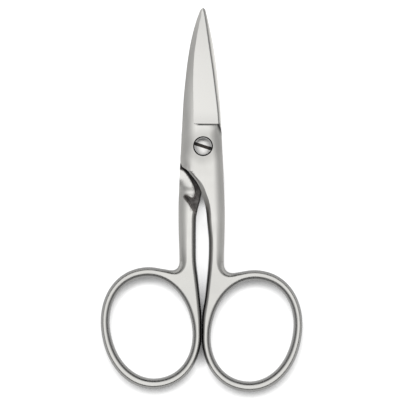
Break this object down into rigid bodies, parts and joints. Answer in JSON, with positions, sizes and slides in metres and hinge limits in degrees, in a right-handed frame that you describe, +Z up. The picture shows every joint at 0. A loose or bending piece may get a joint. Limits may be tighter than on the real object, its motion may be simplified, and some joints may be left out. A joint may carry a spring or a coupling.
{
  "type": "nail scissors",
  "caption": "Small steel nail scissors with curved blades, oval finger bows and a slotted pivot screw, lying closed.",
  "frame": {"origin": "middle of the closed scissors' bounding box, at its lowest level", "axes": "+Y towards the tips, +Z up out of the front half's face and the way the blades curve, +X towards the front half's finger bow"},
  "size_m": [0.0476, 0.0898, 0.0063],
  "materials": {
    "satin_steel": "satin brushed",
    "screw_steel": "turned and polished"
  },
  "bodies": {
    "rear": {"rear_half": "satin_steel", "pivot_screw": "screw_steel"},
    "front": {"front_half": "satin_steel"}
  },
  "joints": [
    {"name": "pivot_turn", "type": "hinge", "parent": "rear", "child": "front", "pos_m": [0.00033, 0.01263, 0.0023], "axis": [0, 0, 1], "range_deg": [0, 80]}
  ]
}
